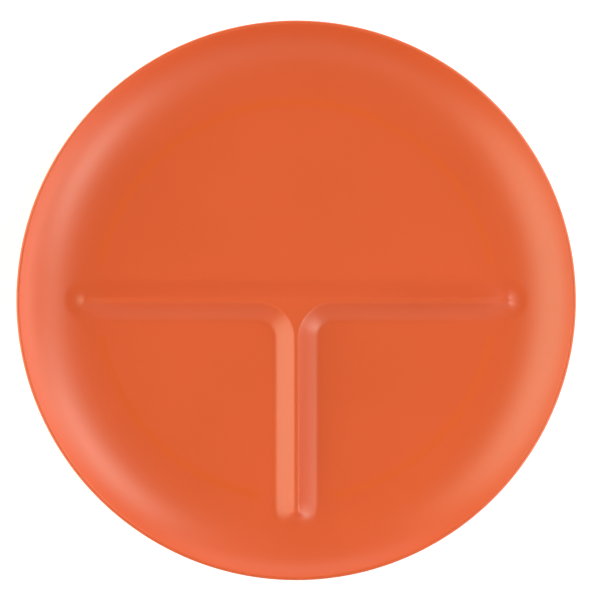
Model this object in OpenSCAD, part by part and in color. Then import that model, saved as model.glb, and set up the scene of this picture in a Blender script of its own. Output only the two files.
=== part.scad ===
// Divided compartment plate: a round moulded plate with one half and two quarter compartments.
// It stands on its feet at Z = 0. +Z is up, and +Y points to the half compartment.

/* [Plate] */
// Diameter over the rim
plate_d = 266; // [240:1:300]
// Height from the table to the top of the rim
plate_h = 21; // [18:0.5:26]
// Thickness of the moulded shell
wall_t = 2.1; // [1.6:0.1:2.6]

/* [Rim and wall] */
// Plan width of the curved wall, from the floor's edge to the outside of the rim
wall_run = 36.1; // [30:0.1:44]

/* [Dividers] */
// Width of a divider where it meets the floor
divider_w = 22; // [18:0.5:28]
// Height of the dividers above the floor
divider_h = 5.4; // [4.5:0.1:7]
// Radius of the root where a divider's side leaves the floor
root_r = 5; // [2:0.5:8]
// Slope of the side where its root ends, in degrees
root_slope = 26; // [15:1:30]
// Width of the flat on top of a divider
crest_w = 0.8; // [0.4:0.1:3]
// Radius inside the top of a divider's hollow
hollow_r = 0.3; // [0.2:0.1:1]
// Plan radius of the two inside corners where the dividers meet
corner_r = 7; // [4:0.5:14]
// How far beyond the floor's edge a divider's round end is centred
divider_over = 3.7; // [2:0.1:6]

/* [Feet] */
// Height of the feet below the floor
foot_h = 2.4; // [1.5:0.1:4]
// Width of a foot arc
foot_w = 3.8; // [2.5:0.1:6]
// Radius of a foot's lower edges
foot_edge_r = 1.1; // [0.4:0.1:1.2]
// Step in from the floor's edge to the outside of the feet
foot_inset = 0.4; // [0.2:0.1:3]
// Gap from a divider's edge to the end of a foot arc
foot_gap = 5.5; // [3:0.5:12]

/* [Hidden] */
$fn = 96;
shell_colour = [0.88, 0.37, 0.19];
floor_colour = [0.86, 0.35, 0.17];
ridge_colour = [0.91, 0.42, 0.24];
foot_colour = [0.80, 0.31, 0.14];

// The well: a flat floor, then one arc that runs smoothly into the rim, a half-round as thick as the wall
plate_r = plate_d / 2;
rim_r = wall_t / 2;
floor_r = plate_r - wall_run;
arc_run = wall_run - rim_r;
floor_z = foot_h + wall_t;
rim_z = plate_h - rim_r;
rim_rise = rim_z - floor_z;
well_r = (arc_run * arc_run + rim_rise * rim_rise - rim_r * rim_r) / (2 * (rim_rise + rim_r));
well_z = floor_z + well_r;
under_r = well_r + wall_t;
rim_slope = atan2(arc_run, well_r - rim_rise);

// Plan places of the dividers fall on a binary step, so that sums of them are exact and the straight and
// turned runs meet face to face
plan_bits = 10;
plan_step = pow(2, -plan_bits);
function kept(v) = round(v / plan_step) * plan_step;

// A divider's side: a root arc up from the floor, a side arc and a round crest, each running smoothly
// into the next; places are [distance in from the divider's edge, height above the floor]
half_w = kept(divider_w / 2);
inner_r = kept(corner_r);
crest_r = hollow_r + wall_t;
side_run = half_w - kept(crest_w / 2);
root_end = root_r * [sin(root_slope), 1 - cos(root_slope)];
root_up = [-sin(root_slope), cos(root_slope)];
crest_mid = [side_run, divider_h - crest_r];
span = root_end - crest_mid;
side_r = (span * span - crest_r * crest_r) / (2 * (crest_r - span * root_up));
side_mid = root_end + side_r * root_up;
top_slope = atan((crest_mid[0] - side_mid[0]) / (side_mid[1] - crest_mid[1]));
divider_end = kept(floor_r + divider_over);
end_run = divider_over + half_w;
corner_at = half_w + inner_r;
foot_at = half_w + foot_gap;

// Flats along the three arcs of a divider's side
root_steps = 4;
side_steps = 5;
crest_steps = 6;

// How far a cut runs past what it cuts
overrun = 4;

// Points along an arc from one slope to another, its end left to what follows; r < 0 bulges upwards
function arc_line(mid, r, from, to, steps) =
    [for (i = [0 : steps - 1]) let (a = from + (to - from) * i / steps) mid + r * [sin(a), -cos(a)]];

// Height of the crest, sunk by t for the hollow
function crest_z(t) = floor_z + divider_h - t;

// The line of a divider's side as [distance in from its edge, height], sunk by t
function side_line(t) = concat(
    [for (p = concat(
        arc_line([0, root_r], root_r + t, 0, root_slope, root_steps),
        arc_line(side_mid, side_r + t, root_slope, top_slope, side_steps),
        arc_line(crest_mid, t - crest_r, top_slope, 0, crest_steps))) [kept(p[0]), floor_z + p[1]]],
    [[side_run, crest_z(t)]]);

// A divider cut across, from its edge to its middle or past it, and down to z = low
module side_section(t, low, past) {
    polygon(concat(
        [[-past, low], [half_w, low]],
        [for (p = side_line(t)) [half_w - p[0], p[1]]],
        [[-past, crest_z(t)]]));
}

// What is above a divider's side, for turning about an inside corner
module corner_waste(t) {
    polygon(concat(
        [[0, floor_z - t]],
        [for (p = side_line(t)) [inner_r + p[0], p[1]]],
        [[inner_r + side_run, crest_z(0) + overrun], [0, crest_z(0) + overrun]]));
}

// One straight run of divider with its round end
module arm(t, low) {
    translate([corner_at, 0, 0]) rotate([90, 0, 90]) linear_extrude(divider_end - corner_at)
        for (side = [0, 1]) mirror([side, 0]) side_section(t, low, half_w - side_run);
    translate([divider_end, 0, 0]) rotate([0, 0, -90]) rotate_extrude(angle = 180) side_section(t, low, 0);
}

// Where the dividers meet: the long one's far side carried back over the stem, with two inside corners cut
module junction(t, low) {
    difference() {
        translate([-corner_at, 0, 0]) rotate([90, 0, 90]) linear_extrude(2 * corner_at)
            side_section(t, low, corner_at);
        for (side = [-1, 1]) translate([side * corner_at, -corner_at, 0])
            rotate_extrude() corner_waste(t);
    }
}

// The T of dividers as a filled solid, sunk by t
module raised_t(t, low) {
    arm(t, low);
    mirror([1, 0, 0]) arm(t, low);
    rotate([0, 0, -90]) arm(t, low);
    junction(t, low);
}

// What is under the wall's curve of radius r, as far out as the dividers reach
module under_wall(r, low) {
    rotate_extrude() difference() {
        translate([floor_r, low]) square([end_run + overrun, well_z - low]);
        translate([floor_r, well_z]) circle(r);
    }
}

// The dividers with their hollow underside, and the wall that runs into their ends
module hollow_t() {
    difference() {
        union() {
            raised_t(0, foot_h);
            under_wall(well_r, foot_h);
        }
        raised_t(wall_t, -overrun);
        under_wall(under_r, -overrun);
    }
}

module cross_plan() {
    square([2 * divider_end, divider_w], center = true);
    for (side = [-1, 1]) translate([side * divider_end, 0]) circle(half_w);
}

module stem_plan() {
    translate([-half_w, -divider_end]) square([divider_w, divider_end - half_w]);
    translate([0, -divider_end]) circle(half_w);
    for (side = [0, 1]) mirror([side, 0]) difference() {
        translate([0, -corner_at]) square([corner_at, inner_r]);
        translate([corner_at, -corner_at]) circle(inner_r);
    }
}

module wall_section() {
    intersection() {
        translate([floor_r, well_z]) difference() {
            circle(under_r);
            circle(well_r);
        }
        polygon([[floor_r, well_z], [floor_r, well_z - plate_r],
                 [floor_r + plate_r * sin(rim_slope), well_z - plate_r * cos(rim_slope)]]);
    }
}

module rim_section() {
    translate([plate_r - rim_r, rim_z]) rotate(rim_slope) intersection() {
        circle(rim_r);
        translate([0, -rim_r]) square([rim_r, 2 * rim_r]);
    }
}

module foot_section() {
    out_r = floor_r - foot_inset;
    in_r = out_r - foot_w;
    intersection() {
        translate([in_r, 0]) square([foot_w, foot_h]);
        union() {
            translate([in_r, foot_edge_r]) square([foot_w, foot_h]);
            translate([in_r + foot_edge_r, 0]) square([foot_w - 2 * foot_edge_r, foot_h]);
            for (x = [in_r + foot_edge_r, out_r - foot_edge_r])
                translate([x, foot_edge_r]) circle(foot_edge_r);
        }
    }
}

module quarter_floor() {
    translate([0, 0, foot_h]) linear_extrude(wall_t) intersection() {
        circle(floor_r);
        union() {
            translate([corner_at, -plate_r]) square([plate_r, plate_r - half_w]);
            translate([half_w, -plate_r]) square([plate_r, plate_r - corner_at]);
            translate([corner_at, -corner_at]) circle(inner_r);
        }
    }
}

module quarter_foot() {
    intersection() {
        rotate_extrude() foot_section();
        translate([foot_at, -foot_at - plate_r, -overrun]) cube([plate_r, plate_r, foot_h + 2 * overrun]);
    }
}

module rim() {
    color(shell_colour) rotate_extrude() rim_section();
}

module flared_wall() {
    color(shell_colour) difference() {
        rotate_extrude() wall_section();
        linear_extrude(plate_h) cross_plan();
        linear_extrude(plate_h) stem_plan();
    }
}

module large_floor() {
    color(floor_colour) translate([0, 0, foot_h]) linear_extrude(wall_t) intersection() {
        circle(floor_r);
        translate([-plate_r, half_w]) square([plate_d, plate_r]);
    }
}

module left_floor() {
    color(floor_colour) mirror([1, 0, 0]) quarter_floor();
}

module right_floor() {
    color(floor_colour) quarter_floor();
}

module cross_divider() {
    color(ridge_colour) intersection() {
        hollow_t();
        linear_extrude(plate_h) cross_plan();
    }
}

module stem_divider() {
    color(ridge_colour) intersection() {
        hollow_t();
        linear_extrude(plate_h) stem_plan();
    }
}

module large_foot() {
    color(foot_colour) intersection() {
        rotate_extrude() foot_section();
        translate([-plate_r, foot_at, -overrun]) cube([plate_d, plate_r, foot_h + 2 * overrun]);
    }
}

module left_foot() {
    color(foot_colour) mirror([1, 0, 0]) quarter_foot();
}

module right_foot() {
    color(foot_colour) quarter_foot();
}

rim();
flared_wall();
large_floor();
left_floor();
right_floor();
cross_divider();
stem_divider();
large_foot();
left_foot();
right_foot();
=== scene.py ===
import bmesh
import bpy
import math
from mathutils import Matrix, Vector


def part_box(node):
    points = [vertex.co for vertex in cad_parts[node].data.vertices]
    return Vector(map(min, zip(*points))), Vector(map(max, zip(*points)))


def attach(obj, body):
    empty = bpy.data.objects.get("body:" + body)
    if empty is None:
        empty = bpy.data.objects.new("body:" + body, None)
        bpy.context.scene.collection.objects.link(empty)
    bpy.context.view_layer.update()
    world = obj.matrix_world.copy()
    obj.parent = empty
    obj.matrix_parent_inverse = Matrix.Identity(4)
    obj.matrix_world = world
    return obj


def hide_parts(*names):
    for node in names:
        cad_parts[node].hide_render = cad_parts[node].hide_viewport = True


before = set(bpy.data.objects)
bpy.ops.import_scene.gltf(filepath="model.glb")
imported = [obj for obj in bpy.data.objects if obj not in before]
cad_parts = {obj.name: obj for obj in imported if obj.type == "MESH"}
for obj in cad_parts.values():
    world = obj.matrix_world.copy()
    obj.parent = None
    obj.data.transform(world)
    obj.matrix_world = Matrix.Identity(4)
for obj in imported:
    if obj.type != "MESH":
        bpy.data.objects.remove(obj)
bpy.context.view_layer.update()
print("frame loaded:", ", ".join(sorted(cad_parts)))

mm = 0.001  # sizes below are written in millimetres
scene = bpy.context.scene

# Sizes that every piece shares, read from the frame
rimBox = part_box("rim")
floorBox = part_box("large_floor")
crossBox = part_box("cross_divider")
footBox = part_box("large_foot")
frameDecimals = 4  # of a metre, which is to a tenth of a millimetre
rimStep = 0.01 * mm  # the rim is rounded down to this step, so as not to pass the CAD rim


def framed(value):
    return round(value, frameDecimals)


plate = {
    "radius": math.floor(rimBox[1].x / rimStep) * rimStep,
    "height": framed(rimBox[1].z),
    "floorRadius": framed(floorBox[1].y),
    "floorTop": framed(floorBox[1].z),
    "thickness": framed(floorBox[1].z - floorBox[0].z),
    "sharpAngle": math.radians(40),  # a fold beyond this is a crisp edge
    "mergeDistance": 0.001 * mm,
}


# Node helpers, for geometry and for materials
def addNode(tree, kind, inputs=None, **settings):
    node = tree.nodes.new(kind)
    for name, value in settings.items():
        setattr(node, name, value)
    for key, value in (inputs or {}).items():
        socket = node.inputs[key]
        if isinstance(value, bpy.types.NodeSocket):
            tree.links.new(value, socket)
        else:
            socket.default_value = value
    return node


def calc(tree, operation, *values):
    return addNode(tree, "ShaderNodeMath", dict(enumerate(values)), operation=operation).outputs[0]


def vectorCalc(tree, operation, *values):
    return addNode(tree, "ShaderNodeVectorMath", dict(enumerate(values)), operation=operation).outputs[0]


def wholeCalc(tree, operation, *values):
    return addNode(tree, "FunctionNodeIntegerMath", dict(enumerate(values)), operation=operation).outputs[0]


def scaled(tree, vector, amount):
    return addNode(tree, "ShaderNodeVectorMath", {0: vector, "Scale": amount}, operation="SCALE").outputs[0]


def lengthOf(tree, vector):
    return addNode(tree, "ShaderNodeVectorMath", {0: vector}, operation="LENGTH").outputs["Value"]


def upBy(tree, height):
    return addNode(tree, "ShaderNodeCombineXYZ", {"Z": height}).outputs[0]


# The X, Y and Z of a place, and the place brought down to height 0
def levelled(tree, place):
    parts = addNode(tree, "ShaderNodeSeparateXYZ", {0: place}).outputs
    return parts, addNode(tree, "ShaderNodeCombineXYZ", {"X": parts["X"], "Y": parts["Y"]}).outputs[0]


# A value carried from one range to another and held at its ends
def carried(tree, value, low, high, first=0, last=1, kind="LINEAR"):
    inputs = {"Value": value, "From Min": low, "From Max": high, "To Min": first, "To Max": last}
    return addNode(tree, "ShaderNodeMapRange", inputs, interpolation_type=kind).outputs[0]


# Geometry trees: named sizes, counts and switches, and a material
def newTree(label, sizes, counts=(), switches=()):
    tree = bpy.data.node_groups.new(label, "GeometryNodeTree")
    kinds = {"Geometry": "Geometry", **dict.fromkeys(sizes, "Float"), **dict.fromkeys(counts, "Int"),
             **dict.fromkeys(switches, "Bool"), "Material": "Material"}
    for name, kind in kinds.items():
        tree.interface.new_socket(name, in_out="INPUT", socket_type="NodeSocket" + kind)
    tree.interface.new_socket("Geometry", in_out="OUTPUT", socket_type="NodeSocketGeometry")
    return tree, addNode(tree, "NodeGroupInput").outputs


# Every tree ends the same way: doubles merged, instances realised, material set
def endTree(tree, geometry, material):
    merged = addNode(tree, "GeometryNodeMergeByDistance",
                     {"Geometry": geometry, "Distance": plate["mergeDistance"]})
    real = addNode(tree, "GeometryNodeRealizeInstances", {"Geometry": merged.outputs[0]})
    painted = addNode(tree, "GeometryNodeSetMaterial", {"Geometry": real.outputs[0], "Material": material})
    addNode(tree, "NodeGroupOutput", {"Geometry": painted.outputs[0]})


def runTree(host, tree, values):
    modifier = host.modifiers.new(tree.name, "NODES")
    modifier.node_group = tree
    for item in tree.interface.items_tree:
        if item.in_out == "INPUT" and item.name in values:
            modifier[item.identifier] = values[item.name]


def moveTo(tree, geometry, position):
    return addNode(tree, "GeometryNodeSetPosition", {"Geometry": geometry, "Position": position}).outputs[0]


def moveBy(tree, geometry, offset):
    return addNode(tree, "GeometryNodeSetPosition", {"Geometry": geometry, "Offset": offset}).outputs[0]


# A flat that fills a closed line, at a height
def filledFlat(tree, outline, height, mode):
    curve = addNode(tree, "GeometryNodeMeshToCurve", {"Mesh": outline}).outputs[0]
    flat = addNode(tree, "GeometryNodeFillCurve", {"Curve": curve}, mode=mode).outputs[0]
    return moveBy(tree, flat, upBy(tree, height))


# A grid with a column for each point of a closed line, the first one repeated to close it
def outlineGrid(tree, outline, rows):
    around = addNode(tree, "GeometryNodeAttributeDomainSize", {"Geometry": outline}).outputs["Point Count"]
    grid = addNode(tree, "GeometryNodeMeshGrid",
                   {"Vertices X": wholeCalc(tree, "ADD", around, 1), "Vertices Y": rows}).outputs[0]
    index = addNode(tree, "GeometryNodeInputIndex").outputs[0]
    column = wholeCalc(tree, "MODULO", wholeCalc(tree, "DIVIDE_FLOOR", index, rows), around)
    return grid, column, wholeCalc(tree, "MODULO", index, rows)


# What a value is at the point of a closed line that a column stands on
def onOutline(tree, outline, value, column):
    return addNode(tree, "GeometryNodeSampleIndex", {"Geometry": outline, "Value": value, "Index": column},
                   data_type="FLOAT_VECTOR").outputs[0]


# Gives a surface the wall's thickness, on the side away from its normals
def addShell(host):
    shell = host.modifiers.new("Shell", "SOLIDIFY")
    shell.thickness = plate["thickness"]
    shell.offset = -1
    shell.use_even_offset = True
    shell.use_quality_normals = True


def addObject(name, data):
    made = bpy.data.objects.new(name, data)
    scene.collection.objects.link(made)
    return made


# A closed line of points to build on, with the way in from each point
def addOutline(name, line):
    mesh = bpy.data.meshes.new(name)
    count = len(line)
    mesh.from_pydata([point for point, inward in line], [(i, (i + 1) % count) for i in range(count)], [])
    attribute = mesh.attributes.new("inward", "FLOAT_VECTOR", "POINT")
    for item, (point, inward) in zip(attribute.data, line):
        item.vector = inward
    return addObject(name, mesh)


# A straight stretch; in is to its left
def straight(start, end, steps):
    start = Vector((*start, 0))
    end = Vector((*end, 0))
    along = (end - start).normalized()
    inward = Vector((-along.y, along.x, 0))
    return [(start.lerp(end, i / steps), inward) for i in range(steps)]


def polar(radius, degrees):
    angle = math.radians(degrees)
    return (radius * math.cos(angle), radius * math.sin(angle))


# A round stretch; in is to its left, so a clockwise bend points away from its centre
def bend(centre, radius, start, end, steps):
    side = -1 if end > start else 1
    line = []
    for i in range(steps):
        out = Vector((*polar(1, start + (end - start) * i / steps), 0))
        line.append((Vector((*centre, 0)) + radius * out, side * out))
    return line


def turned(line, degrees):
    cosine, sine = polar(1, degrees)

    def spin(v):
        return Vector((cosine * v.x - sine * v.y, sine * v.x + cosine * v.y, 0))

    return [(spin(point), spin(inward)) for point, inward in line]


# Turns the modifiers' result into a plain mesh
def plainMesh(host):
    graph = bpy.context.evaluated_depsgraph_get()
    mesh = bpy.data.meshes.new_from_object(host.evaluated_get(graph))
    host.modifiers.clear()
    host.data = mesh
    return mesh


# Puts a piece on the frame
def finishPiece(piece, *nodes):
    piece.data.shade_smooth()
    piece.data.set_sharp_from_angle(angle=plate["sharpAngle"])
    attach(piece, "root")
    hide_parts(*nodes)
    print("made", piece.name, "for", ", ".join(nodes), "with", len(piece.data.polygons), "faces")


# The well: the wall is one arc that leaves the floor level and runs into the rim
rimRadius = plate["thickness"] / 2  # a half-round as thick as the wall
ringRadius = plate["radius"] - rimRadius
ringHeight = plate["height"] - rimRadius
wallRun = ringRadius - plate["floorRadius"]
wallRise = ringHeight - plate["floorTop"]
wellRadius = (wallRun**2 + wallRise**2 - rimRadius**2) / (2 * (wallRise + rimRadius))
rimSlope = math.atan2(wallRun, wellRadius - wallRise)

# The dividers: a T of ridges with round ends that stand a little way up the wall
dividerLook = {
    "halfWidth": framed(crossBox[1].y),
    "endAt": framed(crossBox[1].x - crossBox[1].y),
    "height": framed(crossBox[1].z - floorBox[1].z),
    "rootRadius": 5 * mm,  # where a side leaves the floor
    "rootSlope": math.radians(26),
    "crestWidth": 0.4 * mm,
    "hollowRadius": 0.3 * mm,  # inside the top of the hollow
    "cornerRadius": 7 * mm,  # in plan, where the stem meets the long ridge
    "wallBlend": 1.2,  # higher gives a crisper line where an end meets the wall
    "endDip": 0.5,  # share of its height that a ridge has lost where it ends in the wall
    "longDipRun": 18 * mm,  # the long ridge starts to dip this far before its round end
    "stemDipRun": 5 * mm,  # and the stem this far before its own
    "dipPast": 8 * mm,  # the dip is complete this far into a round end
    "longSteps": 120,  # along the long ridge's unbroken side
    "armSteps": 50,  # along a side from an inside corner to the floor's edge
    "overSteps": 4,  # along a side from the floor's edge to the round end
    "endSteps": 44,
    "cornerSteps": 22,
    "rootSteps": 8,
    "sideSteps": 16,
    "crestSteps": 14,
    "splitAt": 0.1 * mm,  # the stem starts this far past the long ridge's edge
}
halfWidth = dividerLook["halfWidth"]
endAt = dividerLook["endAt"]
cornerAt = halfWidth + dividerLook["cornerRadius"]  # an inside corner's centre, from both middle lines
floorEdge = math.sqrt(plate["floorRadius"]**2 - halfWidth**2)  # where a divider's edge leaves the floor
floorAngle = math.degrees(math.atan2(halfWidth, floorEdge))


# One divider end, pointing along +X, from its right side round to its left
def dividerEnd():
    overSteps = dividerLook["overSteps"]
    line = straight((floorEdge, -halfWidth), (endAt, -halfWidth), overSteps)
    line += bend((endAt, 0), halfWidth, -90, 90, dividerLook["endSteps"])
    return line + straight((endAt, halfWidth), (floorEdge, halfWidth), overSteps)


# Sizes of the feet, which show through the floor as a faint ring
footLook = {
    "outside": framed(footBox[1].y),
    "clearOfDivider": framed(footBox[0].y),
    "height": framed(footBox[1].z - footBox[0].z),
    "width": 3.8 * mm,
    "edgeRadius": 1.1 * mm,
    "rootRadius": 0.35 * mm,
    "endSteps": 20,
    "rootSteps": 5,
    "edgeSteps": 8,
    "halfSteps": 180,
    "quarterSteps": 84,
}


# Colour and finish of the moulding
plasticLook = {
    "colour": (0.735, 0.110, 0.0290, 1),
    "deepColour": (0.710, 0.1055, 0.0265, 1),  # slow drift of the colour over the plate
    "driftSize": 70 * mm,
    "driftRange": (0.35, 0.65),  # noise at which the one and the other colour are pure
    "footColour": (0.725, 0.108, 0.019, 1),  # the thicker ring that shows where the feet are
    "footSoftness": 1.4 * mm,
    "fleckColour": (0.42, 0.065, 0.020, 1),
    "fleckSpacing": 34 * mm,
    "fleckRadius": 0.35 * mm,
    "fleckShare": 0.4,  # of the places where a fleck could be
    "roughness": 0.40,
    "undersideRoughness": 0.50,
    "undersideFacing": (-0.3, 0),  # how far a face looks up where it has the underside's and the top's finish
    "roughnessSpread": 0.05,
    "mottleSize": 2.6 * mm,
    "mottleDetail": 3.0,
    "scratchLength": 9 * mm,
    "scratchSpacing": 0.5 * mm,
    "scratchDepth": 0.0012 * mm,
    "scratchTurns": (25, -50),  # the two ways that hairlines run
    "scratchPeaks": (0.68, 0.80),  # noise at which a hairline starts and is full
    "scratchDetail": 1,
    "grainSize": 0.55 * mm,
    "grainDepth": 0.0016 * mm,
    "refraction": 1.6,
    "glossTint": (1.0, 1.0, 0.9, 1),
}
noiseMiddle = 0.5  # what a noise texture comes to on average


# The mix node's sockets have the same names for every kind of data, so those for colours go by number
def blendColour(tree, share, first, second):
    return addNode(tree, "ShaderNodeMix", {0: share, 6: first, 7: second}, data_type="RGBA").outputs[2]


def cloudNoise(tree, place, size, detail=2.0):
    inputs = {"Vector": place, "Scale": 1 / size, "Detail": detail}
    return addNode(tree, "ShaderNodeTexNoise", inputs).outputs["Fac"]


# 1 past a place, fading to 0 over the softness before it
def softStep(tree, value, place, softness):
    return carried(tree, value, place - softness, place, kind="SMOOTHSTEP")


# Where the feet stand under the floor, read from above
def footRing(tree, place):
    parts, level = levelled(tree, place)
    soft = plasticLook["footSoftness"]
    halfFoot = footLook["width"] / 2
    middle = footLook["outside"] - halfFoot
    away = calc(tree, "ABSOLUTE", calc(tree, "SUBTRACT", lengthOf(tree, level), middle))
    ring = carried(tree, away, halfFoot - soft / 2, halfFoot + soft / 2, 1, 0, "SMOOTHSTEP")
    clear = footLook["clearOfDivider"] + soft
    overLong = softStep(tree, calc(tree, "ABSOLUTE", parts["Y"]), clear, soft)
    besideStem = softStep(tree, calc(tree, "ABSOLUTE", parts["X"]), clear, soft)
    overStem = calc(tree, "MAXIMUM", besideStem, softStep(tree, parts["Y"], clear, soft))
    return calc(tree, "MULTIPLY", ring, calc(tree, "MULTIPLY", overLong, overStem))


# A few tiny dark flecks in the plastic
def flecks(tree, place):
    look = plasticLook
    cell = addNode(tree, "ShaderNodeTexVoronoi", {"Vector": place, "Scale": 1 / look["fleckSpacing"]})
    away = calc(tree, "MULTIPLY", cell.outputs["Distance"], look["fleckSpacing"])
    spot = carried(tree, away, look["fleckRadius"] / 2, look["fleckRadius"], 1, 0)
    pick = addNode(tree, "ShaderNodeSeparateColor", {0: cell.outputs["Color"]}).outputs[0]
    return calc(tree, "MULTIPLY", spot, calc(tree, "LESS_THAN", pick, look["fleckShare"]))


# Hairlines along one direction: noise drawn out, of which only the peaks count
def hairlines(tree, place, turn):
    look = plasticLook
    drawn = (1 / look["scratchLength"], 1 / look["scratchSpacing"], 1 / look["scratchLength"])
    aimed = addNode(tree, "ShaderNodeMapping", {"Vector": place, "Rotation": (0, 0, math.radians(turn)),
                                                "Scale": drawn}).outputs[0]
    return carried(tree, cloudNoise(tree, aimed, 1, look["scratchDetail"]), *look["scratchPeaks"])


def plasticColour(tree, place):
    look = plasticLook
    drift = carried(tree, cloudNoise(tree, place, look["driftSize"]), *look["driftRange"])
    colour = blendColour(tree, drift, look["colour"], look["deepColour"])
    colour = blendColour(tree, footRing(tree, place), colour, look["footColour"])
    return blendColour(tree, flecks(tree, place), colour, look["fleckColour"])


# Duller underneath, mottled all over, and a little glossier along the hairlines
def plasticRoughness(tree, place, scratches):
    look = plasticLook
    normal = addNode(tree, "ShaderNodeNewGeometry").outputs["True Normal"]
    facing = addNode(tree, "ShaderNodeSeparateXYZ", {0: normal}).outputs["Z"]
    finish = carried(tree, facing, *look["undersideFacing"], look["undersideRoughness"], look["roughness"])
    cloud = cloudNoise(tree, place, look["mottleSize"], look["mottleDetail"])
    mottle = calc(tree, "SUBTRACT", cloud, noiseMiddle)
    uneven = calc(tree, "MULTIPLY_ADD", mottle, look["roughnessSpread"], finish)
    return calc(tree, "MULTIPLY_ADD", scratches, -look["roughnessSpread"], uneven)


# Fine grain with the hairlines sunk into it
def plasticBump(tree, place, scratches):
    look = plasticLook
    grain = calc(tree, "MULTIPLY", cloudNoise(tree, place, look["grainSize"]), look["grainDepth"])
    height = calc(tree, "MULTIPLY_ADD", scratches, -look["scratchDepth"], grain)
    return addNode(tree, "ShaderNodeBump", {"Height": height, "Strength": 1, "Distance": 1}).outputs[0]


def plasticMaterial():
    look = plasticLook
    material = bpy.data.materials.new("orangePlastic")
    material.use_nodes = True
    tree = material.node_tree
    shader = tree.nodes["Principled BSDF"]
    place = addNode(tree, "ShaderNodeTexCoord").outputs["Object"]
    scratches = calc(tree, "MAXIMUM", *[hairlines(tree, place, turn) for turn in look["scratchTurns"]])
    tree.links.new(plasticColour(tree, place), shader.inputs["Base Color"])
    tree.links.new(plasticRoughness(tree, place, scratches), shader.inputs["Roughness"])
    tree.links.new(plasticBump(tree, place, scratches), shader.inputs["Normal"])
    shader.inputs["IOR"].default_value = look["refraction"]
    shader.inputs["Specular Tint"].default_value = look["glossTint"]
    return material


orangePlastic = plasticMaterial()
print("mixed", orangePlastic.name)


# Rim: a half-round section carried round the plate's edge
rimLook = {
    "stepsAround": 720,
    "stepsAcross": 22,
}


def makeRim():
    tree, given = newTree("Rim sweep", ("Ring Radius", "Ring Height", "Round Radius", "Slope"),
                          ("Steps Around", "Steps Across"))
    ring = addNode(tree, "GeometryNodeCurvePrimitiveCircle",
                   {"Resolution": given["Steps Around"], "Radius": given["Ring Radius"]}).outputs[0]
    raised = moveBy(tree, ring, upBy(tree, given["Ring Height"]))
    begin = calc(tree, "SUBTRACT", -math.pi / 2, given["Slope"])  # the sweep carries the section upside down
    halfRound = addNode(tree, "GeometryNodeCurveArc",
                        {"Resolution": given["Steps Across"], "Radius": given["Round Radius"],
                         "Start Angle": begin, "Sweep Angle": math.pi}).outputs[0]
    closed = addNode(tree, "GeometryNodeSetSplineCyclic", {"Geometry": halfRound, "Cyclic": True}).outputs[0]
    swept = addNode(tree, "GeometryNodeCurveToMesh", {"Curve": raised, "Profile Curve": closed}).outputs[0]
    endTree(tree, swept, given["Material"])

    piece = addObject("roundRim", bpy.data.meshes.new("roundRim"))
    runTree(piece, tree, {"Ring Radius": ringRadius, "Ring Height": ringHeight,
                          "Round Radius": rimRadius, "Slope": rimSlope,
                          "Steps Around": rimLook["stepsAround"], "Steps Across": rimLook["stepsAcross"],
                          "Material": orangePlastic})
    plainMesh(piece)
    finishPiece(piece, "rim")


# Wall: rays that leave the floor's edge and the divider ends and climb the well's arc
wallLook = {
    "halfSteps": 336,  # along the half compartment's floor
    "quarterSteps": 156,
    "stepsUp": 40,
}


def wallTree():
    tree, given = newTree("Wall loft", ("Floor Radius", "Floor Height", "Well Radius", "Slope"),
                          ("Steps Up",))
    outline = given["Geometry"]
    grid, column, row = outlineGrid(tree, outline, wholeCalc(tree, "ADD", given["Steps Up"], 1))
    place = addNode(tree, "GeometryNodeInputPosition").outputs[0]
    start = onOutline(tree, outline, place, column)
    past = calc(tree, "MAXIMUM", calc(tree, "SUBTRACT", lengthOf(tree, start), given["Floor Radius"]), 0)
    first = calc(tree, "ARCSINE", calc(tree, "DIVIDE", past, given["Well Radius"]))
    share = calc(tree, "DIVIDE", row, given["Steps Up"])
    angle = calc(tree, "MULTIPLY_ADD", calc(tree, "SUBTRACT", given["Slope"], first), share, first)
    reach = calc(tree, "MULTIPLY_ADD", calc(tree, "SINE", angle), given["Well Radius"], given["Floor Radius"])
    climb = calc(tree, "SUBTRACT", 1, calc(tree, "COSINE", angle))
    height = calc(tree, "MULTIPLY_ADD", climb, given["Well Radius"], given["Floor Height"])
    level = scaled(tree, vectorCalc(tree, "NORMALIZE", start), reach)
    lofted = moveTo(tree, grid, vectorCalc(tree, "ADD", level, upBy(tree, height)))
    faced = addNode(tree, "GeometryNodeFlipFaces", {"Mesh": lofted}).outputs[0]
    endTree(tree, faced, given["Material"])
    return tree


def makeWall():
    floorRadius = plate["floorRadius"]
    quarter = bend((0, 0), floorRadius, 180 + floorAngle, 270 - floorAngle, wallLook["quarterSteps"])
    line = dividerEnd()
    line += bend((0, 0), floorRadius, floorAngle, 180 - floorAngle, wallLook["halfSteps"])
    line += turned(dividerEnd(), 180) + quarter
    line += turned(dividerEnd(), 270) + turned(quarter, 90)
    piece = addOutline("flaredWall", line)
    runTree(piece, wallTree(), {"Floor Radius": floorRadius, "Floor Height": plate["floorTop"],
                                "Well Radius": wellRadius, "Slope": rimSlope,
                                "Steps Up": wallLook["stepsUp"], "Material": orangePlastic})
    addShell(piece)
    plainMesh(piece)
    finishPiece(piece, "flared_wall")


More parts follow.
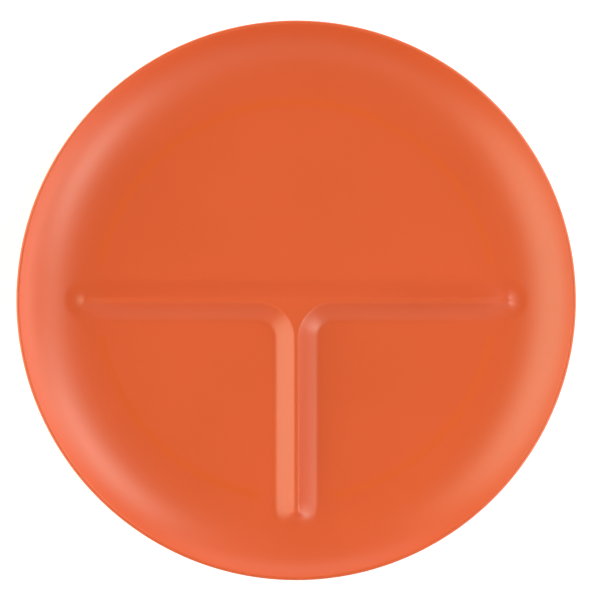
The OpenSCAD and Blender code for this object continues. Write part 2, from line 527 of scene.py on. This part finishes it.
# Floors: flat plates between the wall and the dividers
def makeFloors():
    tree, given = newTree("Floor plate", ("Floor Height",))
    endTree(tree, filledFlat(tree, given["Geometry"], given["Floor Height"], "NGONS"), given["Material"])

    floorRadius = plate["floorRadius"]
    half = straight((-floorEdge, halfWidth), (floorEdge, halfWidth), 1)
    half += bend((0, 0), floorRadius, floorAngle, 180 - floorAngle, wallLook["halfSteps"])
    right = straight((floorEdge, -halfWidth), (cornerAt, -halfWidth), 1)
    right += bend((cornerAt, -cornerAt), dividerLook["cornerRadius"], 90, 180, dividerLook["cornerSteps"])
    right += straight((halfWidth, -cornerAt), (halfWidth, -floorEdge), 1)
    right += bend((0, 0), floorRadius, 270 + floorAngle, 360 - floorAngle, wallLook["quarterSteps"])
    for name, node, line in (("largeFloor", "large_floor", half), ("rightFloor", "right_floor", right),
                             ("leftFloor", "left_floor", turned(right, 270))):
        piece = addOutline(name, line)
        runTree(piece, tree, {"Floor Height": plate["floorTop"], "Material": orangePlastic})
        addShell(piece)
        plainMesh(piece)
        finishPiece(piece, node)


# A ridge whose side is a root arc, a side arc, a straight and a crest arc, swept in from its outline
# and closed over the top; the feet are ridges too
def ridgeTree():
    tree, given = newTree("Ridge sweep", ("Base Height", "Up", "Root Radius", "Root Slope", "Side Radius",
                                          "Top Slope", "Straight", "Crest Radius"),
                          ("Root Steps", "Side Steps", "Crest Steps"), ("Close Base",))
    outline = given["Geometry"]
    rootSlope = given["Root Slope"]
    topSlope = given["Top Slope"]
    sideEnd = wholeCalc(tree, "ADD", given["Root Steps"], given["Side Steps"])
    crestStart = wholeCalc(tree, "ADD", sideEnd, 1)  # one more row where the straight ends
    rows = wholeCalc(tree, "ADD", crestStart, wholeCalc(tree, "ADD", given["Crest Steps"], 1))
    grid, column, row = outlineGrid(tree, outline, rows)
    place = addNode(tree, "GeometryNodeInputPosition").outputs[0]
    inward = addNode(tree, "GeometryNodeInputNamedAttribute", {"Name": "inward"},
                     data_type="FLOAT_VECTOR").outputs[0]

    def sine(angle):
        return calc(tree, "SINE", angle)

    def cosine(angle):
        return calc(tree, "COSINE", angle)

    def less(first, second):
        return calc(tree, "SUBTRACT", first, second)

    # how much of a stretch lies below this row, from 0 to 1
    def share(first, steps):
        done = calc(tree, "DIVIDE", wholeCalc(tree, "SUBTRACT", row, first), steps)
        return addNode(tree, "ShaderNodeClamp", {"Value": done}).outputs[0]

    # way in and height up, for the slopes reached on the three arcs
    def sidePoint(onRoot, onSide, onCrest, onStraight):
        length = calc(tree, "MULTIPLY", given["Straight"], onStraight)
        sideIn = calc(tree, "MULTIPLY", length, cosine(topSlope))
        sideUp = calc(tree, "MULTIPLY", length, sine(topSlope))
        for radius, turnIn, turnUp in (
                (given["Root Radius"], sine(onRoot), less(1, cosine(onRoot))),
                (given["Side Radius"], less(sine(onSide), sine(rootSlope)),
                 less(cosine(rootSlope), cosine(onSide))),
                (given["Crest Radius"], less(sine(topSlope), sine(onCrest)),
                 less(cosine(onCrest), cosine(topSlope)))):
            sideIn = calc(tree, "MULTIPLY_ADD", radius, turnIn, sideIn)
            sideUp = calc(tree, "MULTIPLY_ADD", radius, turnUp, sideUp)
        return sideIn, calc(tree, "MULTIPLY_ADD", sideUp, given["Up"], given["Base Height"])

    onRoot = calc(tree, "MULTIPLY", rootSlope, share(0, given["Root Steps"]))
    onSide = calc(tree, "MULTIPLY_ADD", less(topSlope, rootSlope),
                  share(given["Root Steps"], given["Side Steps"]), rootSlope)
    onCrest = calc(tree, "MULTIPLY", topSlope, less(1, share(crestStart, given["Crest Steps"])))
    sideIn, height = sidePoint(onRoot, onSide, onCrest, share(sideEnd, 1))
    moved = scaled(tree, onOutline(tree, outline, inward, column), sideIn)
    point = vectorCalc(tree, "ADD", onOutline(tree, outline, place, column), moved)
    side = moveTo(tree, grid, vectorCalc(tree, "ADD", point, upBy(tree, height)))

    # the flat over the top, and the base where the ridge is a closed solid
    topIn, topHeight = sidePoint(rootSlope, topSlope, 0, 1)
    topEdge = moveBy(tree, outline, scaled(tree, inward, topIn))
    top = filledFlat(tree, topEdge, topHeight, "TRIANGLES")
    base = filledFlat(tree, outline, given["Base Height"], "TRIANGLES")
    baseKept = addNode(tree, "GeometryNodeSwitch", {"Switch": given["Close Base"], "True": base},
                       input_type="GEOMETRY").outputs[0]
    joined = addNode(tree, "GeometryNodeJoinGeometry")
    for part in (side, top, baseKept):
        tree.links.new(part, joined.inputs[0])
    endTree(tree, joined.outputs[0], given["Material"])
    return tree


# Lowers a ridge's ends and lifts them into the wall, with a soft line where they meet
def wallBlendTree():
    tree, given = newTree("Wall blend", ("Floor Radius", "Floor Height", "Well Radius", "Power",
                                         "End Dip", "Long From", "Stem From", "Dip To"))
    parts, level = levelled(tree, addNode(tree, "GeometryNodeInputPosition").outputs[0])
    well = given["Well Radius"]
    past = calc(tree, "MAXIMUM", calc(tree, "SUBTRACT", lengthOf(tree, level), given["Floor Radius"]), 0)
    wellSquare = calc(tree, "MULTIPLY", well, well)
    drop = calc(tree, "SQRT", calc(tree, "SUBTRACT", wellSquare, calc(tree, "MULTIPLY", past, past)))
    wallRiseHere = calc(tree, "SUBTRACT", well, drop)

    fullRise = calc(tree, "MAXIMUM", calc(tree, "SUBTRACT", parts["Z"], given["Floor Height"]), 0)
    alongLong = calc(tree, "ABSOLUTE", parts["X"])
    alongStem = calc(tree, "MULTIPLY", parts["Y"], -1)
    dips = [carried(tree, along, start, given["Dip To"], kind="SMOOTHSTEP")
            for along, start in ((alongLong, given["Long From"]), (alongStem, given["Stem From"]))]
    lost = calc(tree, "MULTIPLY", calc(tree, "ADD", *dips), given["End Dip"])
    ridgeRise = calc(tree, "MULTIPLY", fullRise, calc(tree, "SUBTRACT", 1, lost))

    # the two rises added as powers, in millimetres, so that the higher one counts most
    powers = [calc(tree, "POWER", calc(tree, "DIVIDE", rise, mm), given["Power"])
              for rise in (wallRiseHere, ridgeRise)]
    root = calc(tree, "POWER", calc(tree, "ADD", *powers), calc(tree, "DIVIDE", 1, given["Power"]))
    height = calc(tree, "MULTIPLY_ADD", root, mm, given["Floor Height"])
    moved = moveTo(tree, given["Geometry"], vectorCalc(tree, "ADD", level, upBy(tree, height)))
    endTree(tree, moved, given["Material"])
    return tree


# The dividers' outline in plan, from the right end round by the long side
def dividerOutline():
    longSteps = dividerLook["longSteps"]
    armSteps = dividerLook["armSteps"]
    corner = dividerLook["cornerRadius"]
    cornerSteps = dividerLook["cornerSteps"]
    line = dividerEnd() + straight((floorEdge, halfWidth), (-floorEdge, halfWidth), longSteps)
    line += turned(dividerEnd(), 180) + straight((-floorEdge, -halfWidth), (-cornerAt, -halfWidth), armSteps)
    line += bend((-cornerAt, -cornerAt), corner, 90, 0, cornerSteps)
    line += straight((-halfWidth, -cornerAt), (-halfWidth, -floorEdge), armSteps)
    line += turned(dividerEnd(), 270) + straight((halfWidth, -floorEdge), (halfWidth, -cornerAt), armSteps)
    line += bend((cornerAt, -cornerAt), corner, 180, 90, cornerSteps)
    return line + straight((cornerAt, -halfWidth), (floorEdge, -halfWidth), armSteps)


# Radius of the crest arc, and the side arc that runs smoothly from the root arc into it
def dividerSide():
    look = dividerLook
    slope = look["rootSlope"]
    crestRadius = look["hollowRadius"] + plate["thickness"]
    rootEnd = look["rootRadius"] * Vector((math.sin(slope), 1 - math.cos(slope)))
    rootUp = Vector((-math.sin(slope), math.cos(slope)))
    crestMiddle = Vector((halfWidth - look["crestWidth"] / 2, look["height"] - crestRadius))
    span = rootEnd - crestMiddle
    sideRadius = (span.length_squared - crestRadius**2) / (2 * (crestRadius - span.dot(rootUp)))
    reach = crestMiddle - rootEnd - sideRadius * rootUp
    topSlope = math.atan2(reach.x, -reach.y)
    return {"Crest Radius": crestRadius, "Side Radius": sideRadius, "Top Slope": topSlope}


# Keeps one side of the line where the stem leaves the long ridge, and closes the cut
def cutDivider(name, mesh, keepStem):
    work = bmesh.new()
    work.from_mesh(mesh)
    line = Vector((0, -halfWidth - dividerLook["splitAt"], 0))
    cut = bmesh.ops.bisect_plane(work, geom=work.verts[:] + work.edges[:] + work.faces[:], plane_co=line,
                                 plane_no=(0, 1, 0), clear_outer=keepStem, clear_inner=not keepStem)
    edges = [e for e in cut["geom_cut"] if isinstance(e, bmesh.types.BMEdge)]
    bmesh.ops.holes_fill(work, edges=edges, sides=0)
    kept = bpy.data.meshes.new(name)
    work.to_mesh(kept)
    work.free()
    kept.materials.append(orangePlastic)
    return addObject(name, kept)


def makeDividers(ridge):
    look = dividerLook
    whole = addOutline("dividers", dividerOutline())
    runTree(whole, ridge, {**dividerSide(), "Base Height": plate["floorTop"], "Up": 1.0, "Straight": 0.0,
                           "Root Radius": look["rootRadius"], "Root Slope": look["rootSlope"],
                           "Root Steps": look["rootSteps"], "Side Steps": look["sideSteps"],
                           "Crest Steps": look["crestSteps"], "Close Base": False,
                           "Material": orangePlastic})
    runTree(whole, wallBlendTree(), {"Floor Radius": plate["floorRadius"], "Floor Height": plate["floorTop"],
                                     "Well Radius": wellRadius, "Power": look["wallBlend"],
                                     "End Dip": look["endDip"], "Long From": endAt - look["longDipRun"],
                                     "Stem From": endAt - look["stemDipRun"],
                                     "Dip To": endAt + look["dipPast"], "Material": orangePlastic})
    addShell(whole)
    mesh = plainMesh(whole)
    finishPiece(cutDivider("crossDivider", mesh, False), "cross_divider")
    finishPiece(cutDivider("stemDivider", mesh, True), "stem_divider")
    bpy.data.objects.remove(whole)


def faceOutwards(mesh):
    work = bmesh.new()
    work.from_mesh(mesh)
    bmesh.ops.recalc_face_normals(work, faces=work.faces)
    work.to_mesh(mesh)
    work.free()


# Feet: low arcs under the floor's edge, with round ends and a small root; their sides are straight
def makeFeet(ridge):
    look = footLook
    halfFoot = look["width"] / 2
    halfRoot = halfFoot + look["rootRadius"]
    middle = look["outside"] - halfFoot
    clear = math.degrees(math.asin((look["clearOfDivider"] + halfFoot) / middle))
    feet = (("largeFoot", "large_foot", clear, 180 - clear, look["halfSteps"]),
            ("leftFoot", "left_foot", 180 + clear, 270 - clear, look["quarterSteps"]),
            ("rightFoot", "right_foot", 270 + clear, 360 - clear, look["quarterSteps"]))
    for name, node, first, last, steps in feet:
        line = bend((0, 0), middle + halfRoot, first, last, steps)
        line += bend(polar(middle, last), halfRoot, last, last + 180, look["endSteps"])
        line += bend((0, 0), middle - halfRoot, last, first, steps)
        line += bend(polar(middle, first), halfRoot, first + 180, first + 360, look["endSteps"])
        piece = addOutline(name, line)
        runTree(piece, ridge, {"Base Height": look["height"], "Up": -1.0, "Root Radius": look["rootRadius"],
                               "Root Slope": math.pi / 2, "Side Radius": 0.0, "Top Slope": math.pi / 2,
                               "Straight": look["height"] - look["rootRadius"] - look["edgeRadius"],
                               "Crest Radius": look["edgeRadius"], "Root Steps": look["rootSteps"],
                               "Side Steps": 1, "Crest Steps": look["edgeSteps"],
                               "Close Base": True, "Material": orangePlastic})
        faceOutwards(plainMesh(piece))
        finishPiece(piece, node)


makeRim()
makeWall()
makeFloors()
ridge = ridgeTree()
makeDividers(ridge)
makeFeet(ridge)


# Stage: a white table that keeps the plate's shadow, in a weakly lit room
stageLook = {
    "tableSide": 12.0,
    "tableColour": (0.85, 0.85, 0.85, 1),
    "tableLift": 0.52,  # brings the table up to white for the camera and in reflections
    "worldColour": (1, 1, 1, 1),
    "worldLevel": 0.04,
}


def tableMaterial():
    material = bpy.data.materials.new("whiteTable")
    material.use_nodes = True
    tree = material.node_tree
    tree.nodes.remove(tree.nodes["Principled BSDF"])
    matt = addNode(tree, "ShaderNodeBsdfDiffuse", {"Color": stageLook["tableColour"]})
    path = addNode(tree, "ShaderNodeLightPath").outputs
    mirrored = calc(tree, "MAXIMUM", path["Is Glossy Ray"], path["Is Transmission Ray"])
    seen = calc(tree, "MAXIMUM", path["Is Camera Ray"], mirrored)
    strength = calc(tree, "MULTIPLY", seen, stageLook["tableLift"])
    lift = addNode(tree, "ShaderNodeEmission", {"Strength": strength})
    both = addNode(tree, "ShaderNodeAddShader", {0: matt.outputs[0], 1: lift.outputs[0]})
    tree.links.new(both.outputs[0], tree.nodes["Material Output"].inputs["Surface"])
    return material


def makeTable():
    mesh = bpy.data.meshes.new("tableTop")
    side = stageLook["tableSide"] / 2
    corners = [(-side, -side, 0), (side, -side, 0), (side, side, 0), (-side, side, 0)]
    mesh.from_pydata(corners, [], [(0, 1, 2, 3)])
    mesh.materials.append(tableMaterial())
    table = addObject("tableTop", mesh)


def makeWorld():
    world = bpy.data.worlds.new("studio")
    scene.world = world
    world.use_nodes = True
    background = world.node_tree.nodes["Background"]
    background.inputs["Color"].default_value = stageLook["worldColour"]
    background.inputs["Strength"].default_value = stageLook["worldLevel"]


# Soft boxes round the plate: where each stands as seen from it, in degrees and metres, its width and
# height, its power and its colour
plainLight = (1, 1, 1)
warmLight = (1, 1, 0.82)
lamps = {
    "leftBox": {"azimuth": 177, "elevation": 26, "distance": 1.2, "size": (2.0, 1.1), "power": 23.5,
                "colour": warmLight},
    "rightStrip": {"azimuth": 357, "elevation": 4, "distance": 1.5, "size": (2.2, 0.18), "power": 13,
                   "colour": plainLight},
    "rightFront": {"azimuth": 328, "elevation": 35, "distance": 1.4, "size": (0.5, 0.5), "power": 7,
                   "colour": plainLight},
    "rightBack": {"azimuth": 36, "elevation": 30, "distance": 1.4, "size": (0.8, 0.6), "power": 9.5,
                  "colour": plainLight},
    "rightHigh": {"azimuth": 0, "elevation": 46, "distance": 1.4, "size": (1.0, 0.6), "power": 2.5,
                  "colour": plainLight},
    "backStrip": {"azimuth": 90, "elevation": 4, "distance": 1.5, "size": (1.6, 0.2), "power": 5.5,
                  "colour": plainLight},
    "frontBox": {"azimuth": 270, "elevation": 32, "distance": 1.4, "size": (1.4, 0.5), "power": 2.2,
                 "colour": plainLight},
}


def makeLamps():
    for name, look in lamps.items():
        light = bpy.data.lights.new(name, "AREA")
        light.shape = "RECTANGLE"
        light.size, light.size_y = look["size"]
        light.energy = look["power"]
        light.color = look["colour"]
        lamp = addObject(name, light)
        lamp.visible_camera = False
        level, height = polar(look["distance"], look["elevation"])
        lamp.location = (*polar(level, look["azimuth"]), height)
        lamp.rotation_euler = lamp.location.to_track_quat("Z", "Y").to_euler()


cameraLook = {
    "lens": 400,
    "frameWidth": 285.1 * mm,  # what the picture spans at the rim
    "middle": (1.82 * mm, 0.18 * mm),  # the point of the plate at the picture's middle
    "farClip": 4,  # in times the camera's distance
}


def makeCamera():
    data = bpy.data.cameras.new("overhead")
    data.lens = cameraLook["lens"]
    reach = cameraLook["frameWidth"] * data.lens / data.sensor_width
    data.clip_end = cameraLook["farClip"] * reach
    camera = addObject("overhead", data)
    camera.location = (*cameraLook["middle"], ringHeight + reach)
    scene.camera = camera


makeTable()
makeWorld()
makeLamps()
makeCamera()
scene.view_settings.view_transform = "Standard"
print("stage set with", len(lamps), "lamps")
